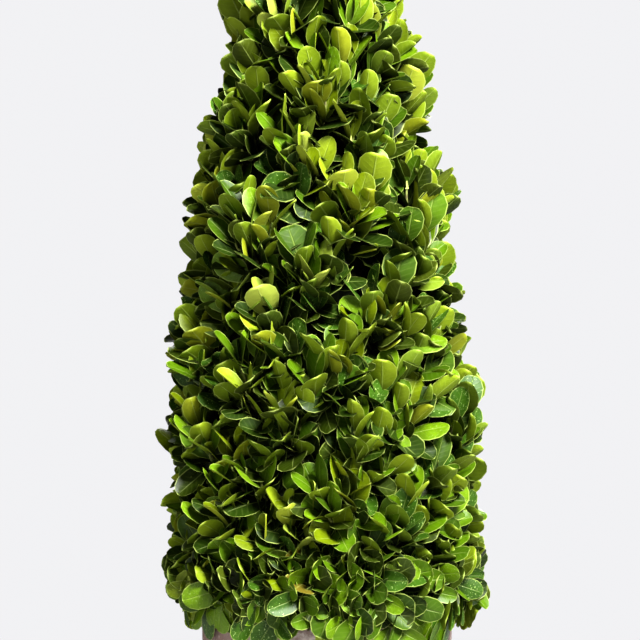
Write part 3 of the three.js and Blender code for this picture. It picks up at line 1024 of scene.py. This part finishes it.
def leaf_blade(number, width, cup, curl, twist, notch):
    """One closed leaf, a metre long for scaling, along Y with its upper face up. Its own map
    gives each shape and each face a cell, with the blade stretched over the whole cell."""
    rows = [(0, 0), *zip(LEAF_ROWS, LEAF_HALF_WIDTHS), (1 - notch, 0)]
    points = []
    grid = {}
    for under in (0, 1):
        for row, (along, half) in enumerate(rows):
            for column, across in enumerate(LEAF_COLUMNS):
                at_end = half == 0
                edge = at_end or abs(across) == 1
                if edge and under:
                    grid[row, column, 1] = grid[row, column, 0]
                    continue
                if at_end and column:
                    grid[row, column, under] = grid[row, 0, under]
                    continue
                x = across * half * width / 2
                z = cup * width * across**2 * half - curl * (along - CURL_FROM) ** 2
                z -= RIB_DEPTH * RIB_UPPER_SHARE if across == 0 else 0
                if under:
                    z -= LEAF_THICKNESS + (RIB_DEPTH if across == 0 else 0)
                turn = math.radians(twist) * (along - 0.5)
                grid[row, column, under] = len(points)
                points.append(
                    (
                        x * math.cos(turn) - z * math.sin(turn),
                        along - notch * 0.5 * (0 if across else half),
                        x * math.sin(turn) + z * math.cos(turn),
                    )
                )
    faces = []
    places = []
    cell_row = number // 2
    for under in (0, 1):
        cell_column = number % 2 + 2 * under
        for row in range(len(rows) - 1):
            for column in range(len(LEAF_COLUMNS) - 1):
                corners = [(row, column), (row, column + 1), (row + 1, column + 1), (row + 1, column)]
                if under:
                    corners.reverse()
                face = []
                place = []
                for corner_row, corner_column in corners:
                    point = grid[corner_row, corner_column, under]
                    if point in face:
                        continue
                    face.append(point)
                    across = (LEAF_COLUMNS[corner_column] + 1) / 2
                    along = rows[corner_row][0] / rows[-1][0]
                    inner = 1 - 2 * LEAF_CELL_EDGE
                    place.append(
                        (
                            (cell_column + LEAF_CELL_EDGE + inner * across) / LEAF_CELLS_ACROSS,
                            (cell_row + LEAF_CELL_EDGE + inner * along) / LEAF_CELLS_UP,
                        )
                    )
                faces.append(face)
                places.extend(place)
    leaf = shaped(f"leaf_shape_{number}", points, faces)
    layer = leaf.data.uv_layers.new(name="OFBake")
    layer.data.foreach_set("uv", np.array(places, np.float32).ravel())
    rim = {grid[row, column, 0] for row in range(len(rows)) for column in (0, 4)}
    for edge in leaf.data.edges:
        edge.use_edge_sharp = edge.vertices[0] in rim and edge.vertices[1] in rim
    bpy.context.scene.collection.objects.unlink(leaf)
    return leaf


leaf_shapes = bpy.data.collections.new("leaf shapes")
for shape_number, shape_sizes in enumerate(LEAF_SHAPES):
    leaf_shapes.objects.link(leaf_blade(shape_number, *shape_sizes))


def leaf_places(number, path):
    """The leaves of one shoot: root, blade and face directions, length, shape, and share of the way from the
    inner pair to the tip.
    """
    seed = number + SHOOT_SEEDS
    lengths = [0]
    for before, after in zip(path, path[1:]):
        lengths.append(lengths[-1] + (after - before).length)
    places = []
    for leaf in range(2 * PAIRS_TO_SHOOT):
        pair = leaf // 2
        share = 1 - pair / (PAIRS_TO_SHOOT - 1)
        distance = max(0, lengths[-1] - pair * PAIR_PITCH)
        step = max(1, next(at for at, length in enumerate(lengths) if length >= distance - 1e-9))
        direction = (path[step] - path[step - 1]).normalized()
        base = path[step] - direction * (lengths[step] - distance)
        level = Vector((0, 0, 1)).cross(direction).normalized()
        upper = direction.cross(level)
        turn = scatter(seed, DRAW_PAIR_TURN + pair, PAIR_TURN_SPREAD)
        around = math.radians(FIRST_PAIR_TURN + 90 * pair + 180 * (leaf % 2) + turn)
        side = level * math.cos(around) + upper * math.sin(around)
        spread = LOW_PAIR_SPREAD + (TOP_PAIR_SPREAD - LOW_PAIR_SPREAD) * share
        spread += SPREAD_WHEN_LEVEL * (1 - max(0, direction.z))
        spread = math.radians(spread + scatter(seed, DRAW_LEAF_SPREAD + leaf, PAIR_SPREAD_SCATTER))
        blade = direction * math.cos(spread) + side * math.sin(spread)
        face = direction * math.sin(spread) - side * math.cos(spread)
        outwards = Vector((base.x - lean_at(base.z), base.y, 0)).normalized()
        to_light = TURN_TO_LIGHT + TURN_WHEN_HANGING * (1 - max(0, direction.z)) ** 2
        face = face + (outwards + Vector((0, 0, LIGHT_RISE))) * to_light
        face = (face - blade * face.dot(blade)).normalized()
        roll = math.radians(scatter(seed, DRAW_LEAF_ROLL + leaf, LEAF_ROLL_SPREAD))
        face = face * math.cos(roll) + blade.cross(face) * math.sin(roll)
        length = LEAF_LONGEST + (LEAF_AT_TIP - LEAF_LONGEST) * share**LEAF_SIZE_CURVE
        length *= 1 - LEAF_SIZE_SPREAD * chance(seed, DRAW_LEAF_SIZE + leaf)
        up = risen(base.z, LOW_LEAVES_AT, HIGH_LEAVES_AT)
        length *= LOW_LEAF_SIZE + (HIGH_LEAF_SIZE - LOW_LEAF_SIZE) * up
        shape = int(len(LEAF_SHAPES) * chance(seed, DRAW_LEAF_SHAPE + leaf))
        places.append((base, blade, face, length, shape, share))
    return places


def has_room(base, blade, length, margin):
    """Whether a leaf stays clear of the pot and near the clipped outline."""
    for share in (0, 0.5, 1):
        point = base + blade * length * share
        over_rim = point.z > POT_HEIGHT + POT_CLEARANCE
        outside_rim = math.hypot(point.x, point.y) > POT_RIM_RADIUS + POT_CLEARANCE
        if not (over_rim or outside_rim):
            return False
        away = point.x - lean_at(point.z)
        outline = clipped_radius(point.z, math.atan2(point.y, away)) + margin
        if math.hypot(away, point.y) > min(outline, WIDEST_LEAF):
            return False
    return True


def tint_of(number, share, base):
    """A shoot's tint, dealt out by its share, with fewer pale ones low on the right as painted shade: its
    inner leaves get the dark shaded tints as painted shade, and on some shoots those at the tip are a step
    fresher."""
    age = chance(number + SHOOT_SEEDS, DRAW_AGE)
    # Painted shade: the inner leaves take a dark shaded tint.
    if share < INNER_SHADE_LEAF_SHARE:
        return SHADED_TINT if age < SHADED_CHANCE else SHADED_OLIVE_TINT
    # Painted shade: darker tints low on the right.
    low = risen(base.z, HIGH_LEAVES_AT, LOW_LEAVES_AT)
    right = risen(base.x, 0, CROWN_RADIUS)
    draw = chance(number + SHOOT_SEEDS, DRAW_TINT) * (1 - LOW_RIGHT_PAINTED_SHADE * low * right)
    tint = 0
    while draw > LEAF_TINTS[tint][1] and tint < SHADED_TINT - 1:
        draw -= LEAF_TINTS[tint][1]
        tint += 1
    if share > FRESH_LEAF_SHARE and tint <= LAST_FRESHENED_TINT and age < FRESHENED_CHANCE:
        tint += 1
    return tint


tinted_leaves = [[] for tint in LEAF_TINTS]
for shoot_number, shoot_points in shoots:
    for base, blade, face, length, shape, share in leaf_places(shoot_number, shoot_points):
        margin = OUTLINE_MARGIN
        if base.z > SKIRT_BELOW:
            margin += STRAY_LEAF_MARGIN * chance(shoot_number, DRAW_MARGIN) ** STRAY_LEAF_RARITY
        if has_room(base, blade, length, margin):
            tint = tint_of(shoot_number, share, base)
            tinted_leaves[tint].append((base, blade, face, length, shape))


def leaf_finish(name, upper, under, specks):
    """The leaf's two faces, read from its own map: rib, side veins, margin, specks, mottling and
    the shade at its root."""
    finish = Finish(name, LEAF_ROUGHNESS, LEAF_GLOSS)
    layout = finish.node("ShaderNodeUVMap", {"uv_map": "OFBake"}, {})
    u, v = finish.parts(layout)[:2]
    cells_across = u * LEAF_CELLS_ACROSS
    cells_up = v * LEAF_CELLS_UP
    inner = 1 - 2 * LEAF_CELL_EDGE
    across = abs((cells_across.worked("FRACT") - 0.5) * (2 / inner))
    along = (cells_up.worked("FRACT") - LEAF_CELL_EDGE) / inner
    underside = u.worked("GREATER_THAN", 0.5)
    rib = (1 - across.ramp(0.015, 0.075)) * (1 - along.ramp(0.75, 1.0) * 0.6)
    margin = across.ramp(0.90, 0.97).worked("MAXIMUM", along.ramp(0.966, 0.995))
    slant = along * VEINS_ALONG - across * VEIN_SLANT
    veins = ((slant * (2 * math.pi)).worked("COSINE") * 0.5 + 0.5).ramp(0.7, 1.0)
    veins = veins * (1 - across.ramp(0.6, 0.95)) * across.ramp(0.02, 0.12)
    mottle = finish.noise(finish.point(cells_across * 1.3, cells_up * 2.2, 0.5), 2.2, 4, 0.6)
    cell = finish.point(cells_across.worked("FLOOR") * 7.3, cells_up.worked("FLOOR") * 3.1, 2)
    tone = finish.noise(cell, 1, 0)
    base = finish.mixed(underside, upper, under)
    upper_dark = tuple(part * UPPER_BLOTCH for part in upper)
    under_dark = tuple(part * UNDER_BLOTCH for part in under)
    dark = finish.mixed(underside, upper_dark, under_dark)
    colour = finish.mixed((mottle * 0.9 + tone * 0.5).ramp(0.42, 0.85), dark, base)
    dots = finish.noise(finish.point(cells_across * 7, cells_up * 11, 0.3), 2.2, 1, 0.4)
    colour = finish.mixed(dots.ramp(0.66, 0.72) * specks * (1 - underside), colour, SPECK_COLOUR)
    # Painted shade: each leaf darkens towards its root.
    root = (1 - along.ramp(-0.1, 0.8)) * ROOT_SHADE
    colour = finish.mixed(root, colour, ROOT_COLOUR)
    colour = finish.mixed(veins * VEIN_PALE, colour, RIB_COLOUR)
    colour = finish.mixed(rib * (RIB_PALE + underside * UNDER_RIB_PALER), colour, RIB_COLOUR)
    finish.coloured(finish.mixed(margin * MARGIN_PALE, colour, MARGIN_COLOUR))
    finish.roughened(LEAF_ROUGHNESS + underside * UNDER_ROUGHER + mottle * 0.1)
    relief = rib * (underside * 2 - 1) + veins * 0.12 + mottle * 0.3
    finish.bumped(relief, LEAF_RELIEF, 0.6)
    return finish.material


def planted_leaves(name, leaves, material):
    """All leaves of one tint, as leaf shapes set on their roots and made one plain mesh."""
    roots = bpy.data.meshes.new(name + " roots")
    roots.from_pydata([tuple(leaf[0]) for leaf in leaves], [], [])
    for attribute, column in (("blade", 1), ("face", 2)):
        values = np.array([tuple(leaf[column]) for leaf in leaves], np.float32).ravel()
        roots.attributes.new(attribute, "FLOAT_VECTOR", "POINT").data.foreach_set("vector", values)
    roots.attributes.new("size", "FLOAT", "POINT").data.foreach_set("value", [leaf[3] for leaf in leaves])
    roots.attributes.new("shape", "INT", "POINT").data.foreach_set("value", [leaf[4] for leaf in leaves])
    growth = Growth(
        name + " planting",
        "Roots",
        {
            "Shapes": ("Collection", leaf_shapes),
            "Leaf scale": ("Float", 1.0),
            "Finish": ("Material", material),
        },
    )
    shapes = growth.node(
        "GeometryNodeCollectionInfo",
        {},
        {"Collection": growth.given("Shapes"), "Separate Children": True, "Reset Children": True},
    )
    aimed = growth.node(
        "FunctionNodeAxesToRotation",
        {"primary_axis": "Y", "secondary_axis": "Z"},
        {
            "Primary Axis": growth.kept("blade", "FLOAT_VECTOR"),
            "Secondary Axis": growth.kept("face", "FLOAT_VECTOR"),
        },
    )
    planted = growth.node(
        "GeometryNodeInstanceOnPoints",
        {},
        {
            "Points": growth.given("Roots"),
            "Instance": shapes,
            "Pick Instance": True,
            "Instance Index": growth.kept("shape", "INT"),
            "Rotation": aimed,
            "Scale": growth.kept("size", "FLOAT") * growth.given("Leaf scale"),
        },
    )
    return growth.grown(name, roots, planted)


for tinted, (tint_name, _, upper_colour, under_colour) in zip(tinted_leaves, LEAF_TINTS):
    specks = SPECKLED_TINTS.get(tint_name, 0)
    waxy = leaf_finish(f"{tint_name} leaf", upper_colour, under_colour, specks)
    leaves = planted_leaves(f"leaves_{tint_name}", tinted, waxy)
    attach(leaves, "root")
    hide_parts("crown")
